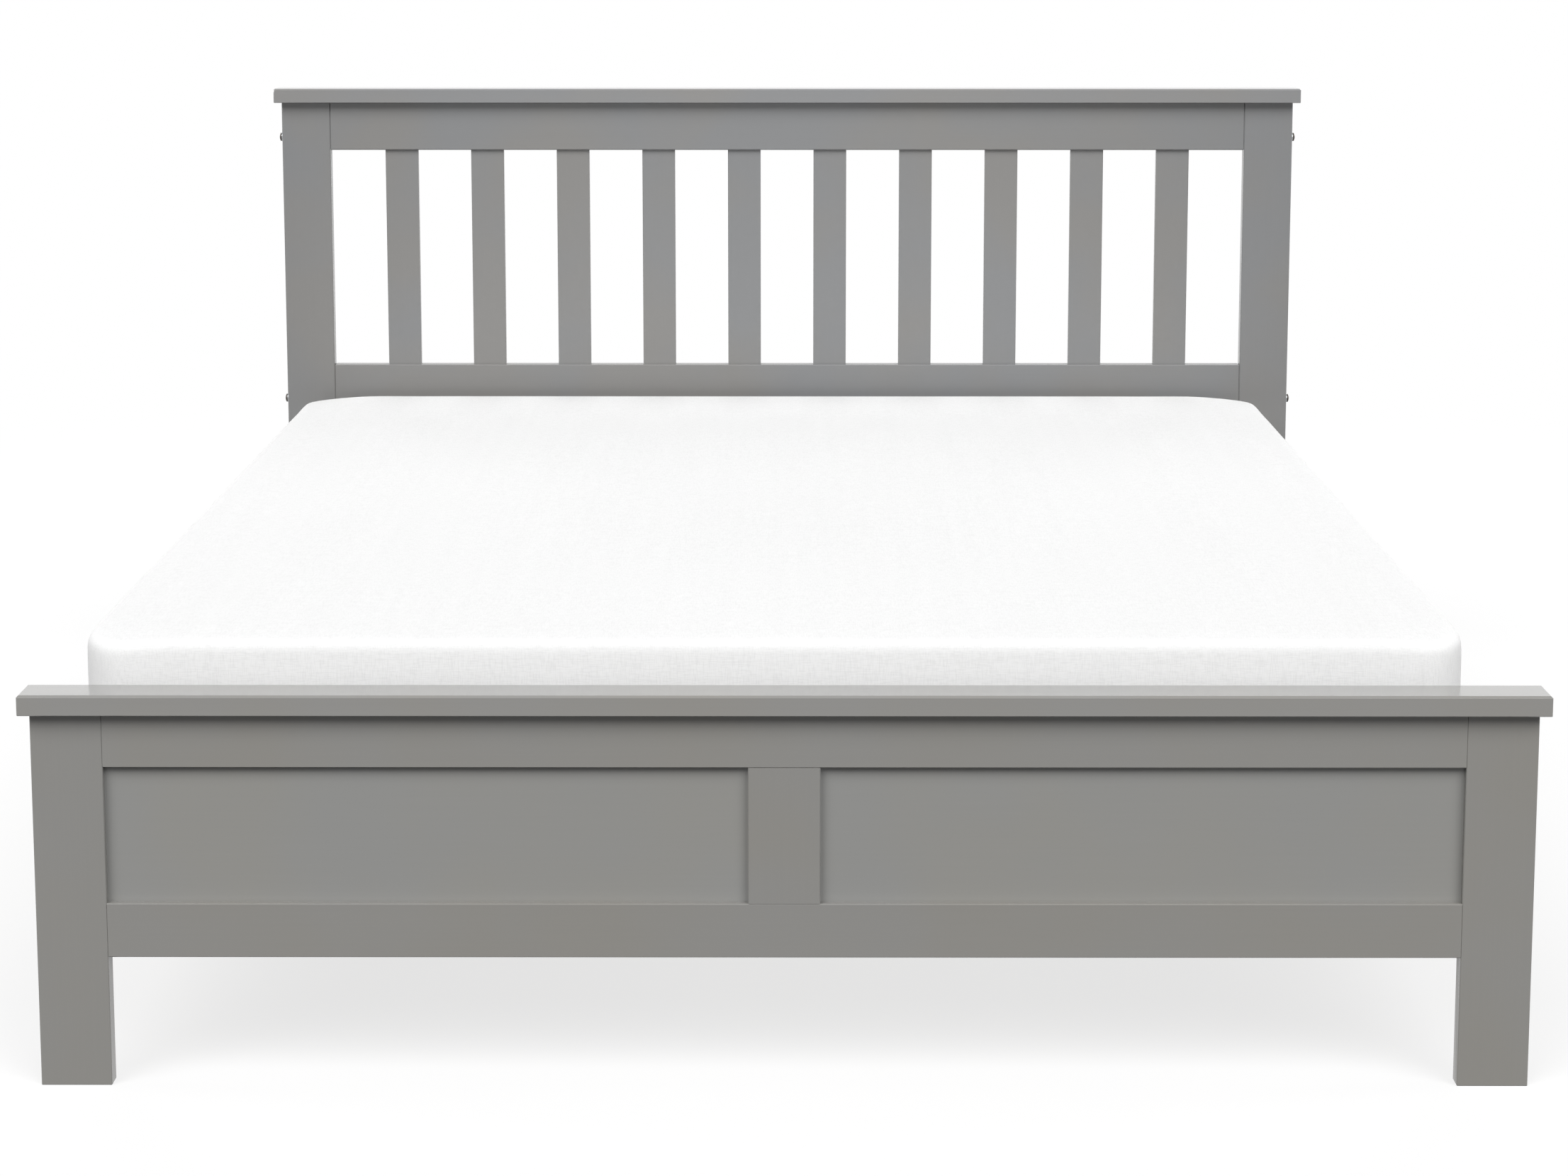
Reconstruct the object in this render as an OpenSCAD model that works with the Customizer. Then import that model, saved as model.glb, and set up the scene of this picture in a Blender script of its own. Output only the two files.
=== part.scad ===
/* [Mattress] */
// Width of the mattress across the fullest part of its sides
mattress_w = 1620; // [900:10:2000]
// Length of the mattress
mattress_l = 2000; // [1900:10:2200]
// Thickness of the mattress at its edges
mattress_t = 216; // [120:1:300]
// Height of the crown in the middle of the mattress top
mattress_crown = 3; // [1:0.5:20]
// Radius of the mattress corners, seen from above
mattress_corner_r = 85; // [40:5:120]
// Radius of the rounded top and bottom edges of the mattress
mattress_edge_r = 14; // [8:1:60]
// How far the mattress sides are drawn in at the top and bottom edges
mattress_draw_in = 3; // [0:0.5:10]
// How far the mattress lies to the left of the middle
mattress_shift = 12; // [0:1:14]
// Free space beside the mattress, both sides together
mattress_play_w = 35; // [30:1:100]
// Free space at the ends of the mattress, both ends together
mattress_play_l = 66; // [40:1:120]
// Free space between the mattress and the footboard
mattress_foot_gap = 30; // [5:1:35]

/* [Headboard] */
// Height of the headboard with its cap
head_h = 1038; // [900:1:1200]
// Height of each headboard rail
head_rail_h = 81; // [74:1:90]
// Length of the headboard slats that shows between the rails
head_slat_show = 370; // [250:1:400]
// Width of each headboard slat
head_slat_w = 56; // [30:1:80]
// Thickness of each headboard slat
head_slat_t = 13; // [8:0.5:16]
// Free space between each headboard post and the nearest slat
head_end_gap = 93.25; // [50:0.25:110]
// How deep each slat end sits in its mortise
mortise_depth = 12; // [6:1:18]

/* [Footboard] */
// Height of the footboard with its cap
foot_h = 467; // [400:1:600]
// Height of each footboard rail
foot_rail_h = 64; // [56:1:80]
// Height of the footboard's lower rail above the floor
foot_clear = 154; // [120:1:180]
// Width of the upright in the middle of the footboard
stile_w = 83; // [76:1:120]
// Thickness of the two panels
panel_t = 6; // [3:0.5:10]
// How deep the panels sit in their grooves
groove_depth = 8; // [5:1:12]

/* [Boards] */
// Thickness of the posts, rails and side rails
board_t = 25; // [22:0.5:40]
// Width of the four posts
post_w = 82; // [70:1:110]
// Thickness of the two caps
cap_t = 24; // [18:1:40]
// Depth of the two caps from front to back
cap_d = 58; // [40:1:90]
// How far each cap stands out past the posts at its ends
cap_over = 11; // [2:1:30]
// Width of the chamfer along the top edges of the caps
cap_arris = 2.5; // [0.5:0.1:4]
// Width of the eased edges on the headboard's boards
head_arris = 1.4; // [0.3:0.1:2]
// Width of the eased edges on the other boards
board_arris = 0.8; // [0.3:0.1:2]

/* [Bed base] */
// Height of the slats' top above the floor
deck_h = 300; // [280:1:340]
// Width of each slat under the mattress
deck_slat_w = 70; // [40:1:90]
// Thickness of each slat under the mattress
deck_slat_t = 15; // [12:1:22]
// Free space between the footboard or headboard and the nearest slat
deck_end_gap = 42.5; // [10:0.5:60]
// Free space at each end of a slat
deck_slat_play = 2.5; // [0.5:0.5:6]
// Height of each side rail
side_rail_h = 140; // [132:1:160]
// How far each side rail reaches above the slats' top
side_rail_rise = 30; // [10:1:40]
// How far each side rail is set in from the posts' outer faces
side_rail_inset = 10; // [0:1:14]
// Width of the cleats that the slats lie on
cleat_w = 25; // [20:1:32]
// Height of the cleats
cleat_h = 30; // [22:1:34]
// Thickness of the beam under the middle of the slats
beam_t = 25; // [20:1:35]
// Height of the beam
beam_h = 70; // [55:1:80]
// Thickness of each of the two cheeks at the top of a centre leg
cheek_t = 18; // [12:1:30]
// Height of the cheeks beside the beam
cheek_h = 50; // [36:1:54]
// Depth of a centre leg along the bed
leg_d = 40; // [30:1:60]

/* [Bolted joints] */
// Diameter of the headboard bolts
bolt_d = 8; // [6:0.5:9]
// Diameter of the headboard bolts' domed heads
bolt_head_d = 14; // [11:0.5:16]
// Height of the headboard bolts' domed heads
bolt_head_h = 4.4; // [3:0.1:6]
// Height of the dome on those heads above their rim
bolt_crown_h = 2; // [1:0.1:2.8]
// Size of the hexagon socket across its flats
bolt_key = 5; // [3:0.5:6]
// Diameter of the washers
washer_d = 15.6; // [15:0.1:20]
// Thickness of the washers
washer_t = 1.6; // [1:0.1:3]
// Height of each bolt above the lower edge of its rail
bolt_rise = 21.5; // [16:0.5:24]
// Diameter of the barrel nuts
nut_d = 12; // [11:0.5:14]
// Length of the barrel nuts
nut_l = 18; // [14:0.5:18]
// Distance from a rail's end to its barrel nuts
nut_inset = 32; // [26:1:34]
// Distance from each bolt up to the dowel above it
dowel_above = 38; // [26:1:44]
// Diameter of the wooden dowels
dowel_d = 8; // [6:0.5:9]
// Length of the wooden dowels between boards
dowel_l = 40; // [30:1:50]
// Length of the wooden dowels under the caps
cap_dowel_l = 30; // [24:1:34]
// How deep the cap dowels reach into the caps
cap_dowel_in = 12; // [8:1:14]
// Distance from a footboard rail's outer edge to its first dowel
foot_dowel_out = 16; // [10:1:24]
// Distance from a footboard rail's outer edge to its second dowel
foot_dowel_in = 40; // [34:1:42]

/* [Brackets] */
// Thickness of the steel corner brackets
bracket_t = 3; // [2:0.5:4]
// Length of each leg of a corner bracket
bracket_leg = 38; // [36:1:40]
// Height of a corner bracket
bracket_h = 50; // [44:1:52]
// Distance from the middle of a corner bracket up and down to its bolts
bracket_hole_rise = 14; // [11:1:16]
// Distance from the corner to a bracket's bolts
bracket_hole_out = 21; // [20:1:24]
// Diameter of the bracket bolts
m6_d = 6; // [5:0.5:6.5]
// Diameter of the bracket bolts' heads
m6_head_d = 10.5; // [9:0.5:12]
// Height of the bracket bolts' heads
m6_head_h = 3.3; // [2:0.1:4]
// Outer diameter of the threaded inserts
insert_d = 8.5; // [8:0.1:9.5]
// Length of the threaded inserts
insert_l = 13; // [9:1:15]
// Thickness of the steel of the beam hangers
hanger_t = 2.5; // [1.5:0.1:3]
// How far the beam hangers reach under the beam
hanger_reach = 30; // [20:1:40]
// Height of the beam hangers' cheeks
hanger_cheek_h = 45; // [30:1:55]
// Width of the beam hangers' back plates
hanger_w = 66; // [62:1:72]
// How far the back plates stand above the cheeks
hanger_plate_rise = 10; // [5:1:15]
// Distance from a back plate's side edge to its screws
hanger_screw_in = 8; // [6:1:9]
// Height of the lower hanger screws above the back plate's lower edge
hanger_screw_rise = 12; // [6:1:16]
// Distance between the lower and the upper hanger screws
hanger_screw_pitch = 31; // [18:1:34]
// Diameter of the wood screws
screw_d = 4; // [3:0.5:4.5]
// Diameter of the wood screws' heads
screw_head_d = 8; // [6:0.5:9]
// Height of the heads of the screws that lie on steel
pan_head_h = 2; // [1:0.1:3]
// Length of the screws through the slats
slat_screw_l = 35; // [25:1:38]
// Length of the screws through the cleats
cleat_screw_l = 40; // [32:1:44]
// Number of screws in each cleat
cleat_screw_n = 7; // [3:2:7]
// Length of the screws in the beam hangers
hanger_screw_l = 20; // [12:1:23]
// Diameter of the bolts through the centre legs
leg_bolt_d = 8; // [6:0.5:10]
// Size of the leg bolts' heads and nuts across their flats
leg_hex = 13; // [11:0.5:17]
// Height of the leg bolts' heads
leg_head_h = 5.3; // [4:0.1:7]
// Height of the leg bolts' nuts
leg_nut_h = 6.5; // [5:0.1:8]
// How far the leg bolts stand out of their nuts
leg_bolt_out = 2; // [0.5:0.5:6]

/* [Hidden] */
$fn = 48;
// Clearances between pieces, all per side
fit_gap = 0.05;
bolt_gap = 0.3;
joint_gap = 0.1;
end_gap = 0.5;
soft_gap = 0.3;
// How far a cutting shape runs out past the face that it cuts
past = 1;
// How far the bracket bolts end short of the far ends of their inserts
m6_short = 1;
// Places of the dowels along each cap, as shares of the rails' length from the middle
cap_dowel_shares = [-0.4, -0.15, 0.15, 0.4];
// Distance of the centre legs from the middle, as a share of the bed's inner length
leg_share = 1 / 6;
// Numbers of slats, each of which is a node
head_slat_n = 10;
deck_slat_n = 14;
// Points round a mattress corner, rings up each rounded edge, and steps up the side between
corner_steps = 7;
edge_steps = 4;
side_steps = 4;
// Least corner radius of the inner rings of the mattress top
ring_corner_r = 4;
// Insets of the rings that carry the crown, as shares of the way to the middle
crown_shares = [0.06, 0.16, 0.32, 0.52, 0.74, 0.92];

// Plan of the whole bed, with +X to the right and +Y towards the headboard
inner_w = mattress_w + mattress_play_w;
inner_l = mattress_l + mattress_play_l;
bed_w = inner_w + 2 * (board_t + side_rail_inset);
cap_l = bed_w + 2 * cap_over;
rail_l = bed_w - 2 * post_w;
post_x = (bed_w - post_w) / 2;
foot_y = -inner_l / 2;
head_y = inner_l / 2;
foot_mid = foot_y - board_t / 2;
head_mid = head_y + board_t / 2;
side_x = bed_w / 2 - side_rail_inset - board_t;

// Bed base heights
cleat_top = deck_h - deck_slat_t;
cleat_z = cleat_top - cleat_h;
side_rail_z = deck_h + side_rail_rise - side_rail_h;
beam_z = cleat_top - beam_h;
beam_l = inner_l - 2 * (hanger_t + end_gap);
deck_slat_l = 2 * (side_x - deck_slat_play);
deck_slat_pitch = (inner_l - 2 * deck_end_gap - deck_slat_w) / (deck_slat_n - 1);
deck_slat_ys = [for (i = [0:deck_slat_n - 1]) (i - (deck_slat_n - 1) / 2) * deck_slat_pitch];
screw_x = side_x - cleat_w / 2;
leg_y = leg_share * inner_l;
leg_w = beam_t + 2 * (cheek_t + fit_gap);
leg_bolt_z = beam_z + cheek_h / 2;
leg_bolt_l = leg_w + leg_nut_h + leg_bolt_out;
cleat_screw_pitch = 2 * deck_slat_pitch;
cleat_screw_ys = [for (i = [0:cleat_screw_n - 1]) (i - (cleat_screw_n - 1) / 2) * cleat_screw_pitch];

// Headboard heights
head_post_h = head_h - cap_t;
head_top_z = head_post_h - head_rail_h;
head_middle_z = head_top_z - head_slat_show - head_rail_h;
head_bottom_z = cleat_top - head_rail_h;
head_rail_zs = [head_bottom_z, head_middle_z, head_top_z];
head_slat_pitch = (rail_l - 2 * head_end_gap - head_slat_w) / (head_slat_n - 1);
head_slat_l = head_slat_show + 2 * mortise_depth - 2 * end_gap;

// Footboard heights
foot_post_h = foot_h - cap_t;
foot_top_z = foot_post_h - foot_rail_h;
panel_z = foot_clear + foot_rail_h;
panel_show_h = foot_top_z - panel_z;
panel_show_w = (rail_l - stile_w) / 2;
foot_dowel_zs = [
    foot_clear + foot_dowel_out, foot_clear + foot_dowel_in,
    foot_post_h - foot_dowel_in, foot_post_h - foot_dowel_out
];

// Places of the fasteners
nut_x = rail_l / 2 - nut_inset;
bolt_l = post_w + nut_inset + nut_d / 2;
bracket_z = head_bottom_z + bolt_rise;
bracket_hole_zs = [bracket_z - bracket_hole_rise, bracket_z + bracket_hole_rise];
cap_dowel_xs = concat([for (share = cap_dowel_shares) share * rail_l], [-post_x, post_x]);
m6_l = bracket_t + insert_l - m6_short;
bracket_bolt_x = side_x - bracket_hole_out;
bracket_bolt_y = inner_l / 2 - bracket_hole_out;
hanger_z = beam_z - hanger_t;
hanger_screw_x = hanger_w / 2 - hanger_screw_in;
hanger_screw_zs = [
    hanger_z + hanger_screw_rise, hanger_z + hanger_screw_rise + hanger_screw_pitch
];
mattress_bottom = deck_h + soft_gap;
mattress_y = foot_y + mattress_foot_gap + mattress_l / 2;

paint = [0.54, 0.54, 0.53];
bare_wood = [0.80, 0.68, 0.50];
steel = [0.72, 0.73, 0.74];

// The name of one slat in a row, counted from 01
function slat_name(stem, i) = str(stem, i < 9 ? "0" : "", i + 1);

function head_slat_x(i) = (i - (head_slat_n - 1) / 2) * head_slat_pitch;

// A rectangle with its four corners cut by a small chamfer
module eased_rect(w, h, cut) {
    x = w / 2;
    y = h / 2;
    polygon([
        [x - cut, -y], [x, cut - y], [x, y - cut], [x - cut, y],
        [cut - x, y], [-x, y - cut], [-x, cut - y], [cut - x, -y]
    ]);
}

// A board centred on the origin with all its edges eased
module board(w, d, h, cut) {
    intersection() {
        linear_extrude(h, center = true) eased_rect(w, d, cut);
        rotate([90, 0, 0]) linear_extrude(d, center = true) eased_rect(w, h, cut);
        rotate([90, 0, 90]) linear_extrude(w, center = true) eased_rect(d, h, cut);
    }
}

// A board along X with sawn ends and its four long edges eased
module rail_board(w, d, h, cut) {
    rotate([90, 0, 90]) linear_extrude(w, center = true) eased_rect(d, h, cut);
}

// A round hole or pin along X, starting at the origin and running towards +X
module along_x(d, l) {
    rotate([0, 90, 0]) cylinder(d = d, h = l);
}

// A round hole or pin along Y, starting at the origin and running towards +Y
module along_y(d, l) {
    rotate([-90, 0, 0]) cylinder(d = d, h = l);
}

// What is drawn at the right of the bed, and its mirror image at the left
module both_sides() {
    children();
    mirror([1, 0, 0]) children();
}

// What is drawn at the head of the bed, and its mirror image at the foot
module both_ends() {
    children();
    mirror([0, 1, 0]) children();
}

// Holes for the bolts, dowels and nuts of the headboard's three rails, for both ends
module headboard_joint_holes() {
    both_sides() for (z = head_rail_zs) {
        translate([nut_x - nut_d, head_mid, z + bolt_rise])
            along_x(bolt_d + 2 * bolt_gap, bed_w / 2 - nut_x + nut_d + past);
        translate([rail_l / 2 - dowel_l / 2 - end_gap, head_mid, z + bolt_rise + dowel_above])
            along_x(dowel_d + 2 * fit_gap, dowel_l + 2 * end_gap);
        translate([nut_x, head_mid - nut_l / 2 - end_gap, z + bolt_rise])
            along_y(nut_d + 2 * fit_gap, board_t);
    }
    cap_dowel_holes(head_mid, head_post_h);
}

// Holes for the dowels that hold a cap on its posts and top rail
module cap_dowel_holes(y, z) {
    for (x = cap_dowel_xs)
        translate([x, y, z + cap_dowel_in - cap_dowel_l - end_gap])
            cylinder(d = dowel_d + 2 * fit_gap, h = cap_dowel_l + 2 * end_gap);
}

// Holes for the threaded inserts of the four corner brackets, in posts and side rails
module insert_holes() {
    hole_l = insert_l + past + end_gap;
    both_sides() both_ends() for (z = bracket_hole_zs) {
        translate([bracket_bolt_x, inner_l / 2 - past, z]) along_y(insert_d + 2 * fit_gap, hole_l);
        translate([side_x - past, bracket_bolt_y, z]) along_x(insert_d + 2 * fit_gap, hole_l);
    }
}

// Screw holes for the two beam hangers
module hanger_screw_holes() {
    both_sides() both_ends() for (z = hanger_screw_zs)
        translate([hanger_screw_x, inner_l / 2 - hanger_t, z])
            along_y(screw_d + 2 * fit_gap, hanger_screw_l + end_gap);
}

module headboard_post() {
    color(paint) difference() {
        translate([post_x, head_mid, head_post_h / 2]) board(post_w, board_t, head_post_h, head_arris);
        headboard_joint_holes();
        insert_holes();
    }
}

module headboard_rail(z) {
    color(paint) difference() {
        translate([0, head_mid, z + head_rail_h / 2]) board(rail_l, board_t, head_rail_h, head_arris);
        headboard_joint_holes();
        for (i = [0:head_slat_n - 1])
            translate([head_slat_x(i), head_mid, head_middle_z + head_rail_h + head_slat_show / 2])
                cube([
                    head_slat_w + 2 * joint_gap, head_slat_t + 2 * joint_gap,
                    head_slat_show + 2 * mortise_depth
                ], center = true);
        hanger_screw_holes();
    }
}

module headboard_slat(i) {
    color(paint)
        translate([head_slat_x(i), head_mid, head_middle_z + head_rail_h + head_slat_show / 2])
            board(head_slat_w, head_slat_t, head_slat_l, board_arris);
}

// A cap with wide chamfers round its top and finely eased edges below
module cap(y, z) {
    color(paint) difference() {
        translate([0, y, z]) intersection() {
            rotate([90, 0, 90]) linear_extrude(cap_l, center = true) cap_outline(cap_d);
            rotate([90, 0, 0]) linear_extrude(cap_d, center = true) cap_outline(cap_l);
            linear_extrude(cap_t) eased_rect(cap_l, cap_d, board_arris);
        }
        cap_dowel_holes(y, z);
    }
}

module cap_outline(w) {
    x = w / 2;
    polygon([
        [x - board_arris, 0], [x, board_arris], [x, cap_t - cap_arris], [x - cap_arris, cap_t],
        [cap_arris - x, cap_t], [-x, cap_t - cap_arris], [-x, board_arris], [board_arris - x, 0]
    ]);
}

// Dowel holes between the footboard's rails and posts
module footboard_joint_holes() {
    both_sides() for (z = foot_dowel_zs)
        translate([rail_l / 2 - dowel_l / 2 - end_gap, foot_mid, z])
            along_x(dowel_d + 2 * fit_gap, dowel_l + 2 * end_gap);
    cap_dowel_holes(foot_mid, foot_post_h);
}

// The groove that the panels and the stile's tongues sit in, cut round the inside of the frame
module panel_groove() {
    translate([0, foot_mid, panel_z + panel_show_h / 2])
        cube([
            rail_l + 2 * groove_depth, panel_t + 2 * joint_gap, panel_show_h + 2 * groove_depth
        ], center = true);
}

module footboard_post() {
    color(paint) difference() {
        translate([post_x, foot_mid, foot_post_h / 2]) board(post_w, board_t, foot_post_h, board_arris);
        footboard_joint_holes();
        panel_groove();
        insert_holes();
    }
}

module footboard_rail(z) {
    color(paint) difference() {
        translate([0, foot_mid, z + foot_rail_h / 2]) rail_board(rail_l, board_t, foot_rail_h, board_arris);
        footboard_joint_holes();
        panel_groove();
        hanger_screw_holes();
    }
}

// The middle upright, with a tongue at each end and a groove down each side
module footboard_stile() {
    tongue_h = panel_show_h + 2 * (groove_depth - end_gap);
    color(paint) difference() {
        translate([0, foot_mid, panel_z + panel_show_h / 2]) union() {
            rotate([0, 90, 0]) rail_board(panel_show_h, board_t, stile_w, board_arris);
            cube([stile_w, panel_t, tongue_h], center = true);
        }
        both_sides() translate([
            stile_w / 2 - groove_depth, foot_mid - panel_t / 2 - joint_gap, panel_z - 2 * groove_depth
        ])
            cube([2 * groove_depth, panel_t + 2 * joint_gap, panel_show_h + 4 * groove_depth]);
        hanger_screw_holes();
    }
}

module footboard_panel() {
    tongue = groove_depth - end_gap;
    color(paint)
        translate([(stile_w + panel_show_w) / 2, foot_mid, panel_z + panel_show_h / 2])
            cube([panel_show_w + 2 * tongue, panel_t, panel_show_h + 2 * tongue], center = true);
}

module side_rail() {
    color(paint) difference() {
        translate([side_x + board_t / 2, 0, side_rail_z + side_rail_h / 2])
            board(board_t, inner_l, side_rail_h, board_arris);
        insert_holes();
        cleat_screw_holes();
    }
}

// Screw holes through each cleat into its side rail
module cleat_screw_holes() {
    both_sides() for (y = cleat_screw_ys)
        translate([side_x - cleat_w, y, cleat_z + cleat_h / 2])
            rotate([0, 90, 0]) screw_hole(cleat_screw_l);
}

// A countersunk screw with its head's flat face at the origin and its point above
module screw(l) {
    rotate_extrude() polygon([
        [0, 0], [screw_head_d / 2, 0], [screw_d / 2, (screw_head_d - screw_d) / 2],
        [screw_d / 2, l], [0, l]
    ]);
}

// The hole that such a screw sits in
module screw_hole(l) {
    head_r = screw_head_d / 2 + fit_gap;
    shank_r = screw_d / 2 + fit_gap;
    rotate_extrude() polygon([
        [0, -past], [head_r, -past], [head_r, 0], [shank_r, head_r - shank_r],
        [shank_r, l + end_gap], [0, l + end_gap]
    ]);
}

module cleat() {
    color(bare_wood) difference() {
        translate([side_x - cleat_w / 2, 0, cleat_z + cleat_h / 2])
            board(cleat_w, inner_l - 2 * end_gap, cleat_h, board_arris);
        cleat_screw_holes();
        slat_screw_holes();
    }
}

// Screw holes down through the slats into the cleats and the beam
module slat_screw_holes() {
    for (y = deck_slat_ys, x = [-screw_x, 0, screw_x])
        translate([x, y, deck_h]) rotate([180, 0, 0]) screw_hole(slat_screw_l);
}

module bed_slat(i) {
    color(bare_wood) difference() {
        translate([0, deck_slat_ys[i], deck_h - deck_slat_t / 2])
            board(deck_slat_l, deck_slat_w, deck_slat_t, 2 * board_arris);
        for (x = [-screw_x, 0, screw_x])
            translate([x, deck_slat_ys[i], deck_h]) rotate([180, 0, 0]) screw_hole(slat_screw_l);
    }
}

module centre_beam() {
    color(bare_wood) difference() {
        translate([0, 0, beam_z + beam_h / 2]) board(beam_t, beam_l, beam_h, board_arris);
        slat_screw_holes();
        leg_bolt_holes();
    }
}

module leg_bolt_holes() {
    for (side = [-1, 1])
        translate([-leg_w, side * leg_y, leg_bolt_z]) along_x(leg_bolt_d + 2 * bolt_gap, 2 * leg_w);
}

// A centre leg with a fork at its top that the beam sits in
module centre_leg(side) {
    color(bare_wood) difference() {
        translate([0, side * leg_y, (beam_z + cheek_h) / 2])
            board(leg_w, leg_d, beam_z + cheek_h, board_arris);
        translate([0, side * leg_y, beam_z + cheek_h])
            cube([beam_t + 2 * fit_gap, 2 * leg_d, 2 * cheek_h], center = true);
        leg_bolt_holes();
    }
}

// The domed bolts through the headboard's posts, with their heads outside
module headboard_bolts() {
    color(steel) both_sides() for (z = head_rail_zs)
        translate([bed_w / 2 + washer_t, head_mid, z + bolt_rise]) rotate([0, 90, 0]) domed_bolt();
}

// A bolt whose shank runs down from the origin, with a domed head and a hexagon socket
module domed_bolt() {
    crown_r = (pow(bolt_head_d / 2, 2) + pow(bolt_crown_h, 2)) / (2 * bolt_crown_h);
    difference() {
        union() {
            translate([0, 0, -bolt_l]) cylinder(d = bolt_d, h = bolt_l);
            intersection() {
                cylinder(d = bolt_head_d, h = bolt_head_h);
                translate([0, 0, bolt_head_h - crown_r]) sphere(crown_r);
            }
        }
        translate([0, 0, bolt_head_h - bolt_crown_h])
            cylinder(d = bolt_key / cos(30), h = bolt_head_h, $fn = 6);
    }
}

module headboard_washers() {
    color(steel) both_sides() for (z = head_rail_zs)
        translate([bed_w / 2, head_mid, z + bolt_rise]) difference() {
            along_x(washer_d, washer_t);
            translate([-past, 0, 0]) along_x(bolt_d + 2 * bolt_gap, washer_t + 2 * past);
        }
}

module barrel_nuts() {
    color(steel) both_sides() for (z = head_rail_zs)
        translate([nut_x, head_mid, z + bolt_rise]) difference() {
            translate([0, -nut_l / 2, 0]) along_y(nut_d, nut_l);
            translate([-nut_d, 0, 0]) along_x(bolt_d + 2 * fit_gap, 2 * nut_d);
        }
}

// All the wooden dowels: rail ends, and caps
module dowels() {
    color(bare_wood) {
        both_sides() for (z = head_rail_zs)
            translate([rail_l / 2 - dowel_l / 2, head_mid, z + bolt_rise + dowel_above])
                along_x(dowel_d, dowel_l);
        both_sides() for (z = foot_dowel_zs)
            translate([rail_l / 2 - dowel_l / 2, foot_mid, z]) along_x(dowel_d, dowel_l);
        for (x = cap_dowel_xs) {
            translate([x, head_mid, head_post_h + cap_dowel_in - cap_dowel_l])
                cylinder(d = dowel_d, h = cap_dowel_l);
            translate([x, foot_mid, foot_post_h + cap_dowel_in - cap_dowel_l])
                cylinder(d = dowel_d, h = cap_dowel_l);
        }
    }
}

// Steel angles that hold the side rails to the posts
module corner_brackets() {
    color(steel) both_sides() both_ends() difference() {
        translate([side_x, inner_l / 2, bracket_z - bracket_h / 2]) linear_extrude(bracket_h)
            polygon([
                [0, 0], [-bracket_leg, 0], [-bracket_leg, -bracket_t], [-bracket_t, -bracket_t],
                [-bracket_t, -bracket_leg], [0, -bracket_leg]
            ]);
        for (z = bracket_hole_zs) {
            translate([bracket_bolt_x, inner_l / 2 - 2 * bracket_t, z])
                along_y(m6_d + 2 * bolt_gap, 3 * bracket_t);
            translate([side_x - 2 * bracket_t, bracket_bolt_y, z])
                along_x(m6_d + 2 * bolt_gap, 3 * bracket_t);
        }
    }
}

// A short bolt with a low round head, its shank running up from the origin
module bracket_bolt() {
    cylinder(d = m6_d, h = m6_l);
    translate([0, 0, -m6_head_h]) cylinder(d1 = m6_d, d2 = m6_head_d, h = m6_head_h);
}

module bracket_bolts() {
    color(steel) both_sides() both_ends() for (z = bracket_hole_zs) {
        translate([bracket_bolt_x, inner_l / 2 - bracket_t, z]) rotate([-90, 0, 0]) bracket_bolt();
        translate([side_x - bracket_t, bracket_bolt_y, z]) rotate([0, 90, 0]) bracket_bolt();
    }
}

// A threaded sleeve running up from the origin
module insert() {
    difference() {
        cylinder(d = insert_d, h = insert_l);
        translate([0, 0, -past]) cylinder(d = m6_d + 2 * fit_gap, h = insert_l + 2 * past);
    }
}

module threaded_inserts() {
    color("goldenrod") both_sides() both_ends() for (z = bracket_hole_zs) {
        translate([bracket_bolt_x, inner_l / 2, z]) rotate([-90, 0, 0]) insert();
        translate([side_x, bracket_bolt_y, z]) rotate([0, 90, 0]) insert();
    }
}

// Folded steel stirrups that carry the two ends of the centre beam
module beam_hangers() {
    pocket_w = beam_t + 2 * joint_gap;
    color(steel) both_ends() difference() {
        translate([0, inner_l / 2, hanger_z]) union() {
            translate([-hanger_w / 2, -hanger_t, 0])
                cube([hanger_w, hanger_t, hanger_cheek_h + hanger_plate_rise]);
            translate([-pocket_w / 2 - hanger_t, -hanger_reach, 0])
                cube([pocket_w + 2 * hanger_t, hanger_reach, hanger_t]);
            both_sides() translate([pocket_w / 2, -hanger_reach, 0])
                cube([hanger_t, hanger_reach, hanger_cheek_h]);
        }
        for (x = [-hanger_screw_x, hanger_screw_x], z = hanger_screw_zs)
            translate([x, inner_l / 2 - hanger_t - past, z])
                along_y(screw_d + 2 * fit_gap, hanger_t + 2 * past);
    }
}

// A screw whose round head lies on the steel, its shank running up from the origin
module pan_screw(l) {
    cylinder(d = screw_d, h = l);
    translate([0, 0, -pan_head_h]) cylinder(d1 = screw_d, d2 = screw_head_d, h = pan_head_h);
}

module hanger_screws() {
    color(steel) both_sides() both_ends() for (z = hanger_screw_zs)
        translate([hanger_screw_x, inner_l / 2 - hanger_t, z])
            rotate([-90, 0, 0]) pan_screw(hanger_screw_l);
}

module cleat_screws() {
    color(steel) both_sides() for (y = cleat_screw_ys)
        translate([side_x - cleat_w, y, cleat_z + cleat_h / 2])
            rotate([0, 90, 0]) screw(cleat_screw_l);
}

module slat_screws() {
    color(steel) for (y = deck_slat_ys, x = [-screw_x, 0, screw_x])
        translate([x, y, deck_h]) rotate([180, 0, 0]) screw(slat_screw_l);
}

// Hexagon bolts across the forks of the centre legs
module leg_bolts() {
    color(steel) for (side = [-1, 1]) translate([leg_w / 2, side * leg_y, leg_bolt_z]) {
        translate([-leg_bolt_l, 0, 0]) along_x(leg_bolt_d, leg_bolt_l);
        rotate([0, 90, 0]) cylinder(d = leg_hex / cos(30), h = leg_head_h, $fn = 6);
    }
}

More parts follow.
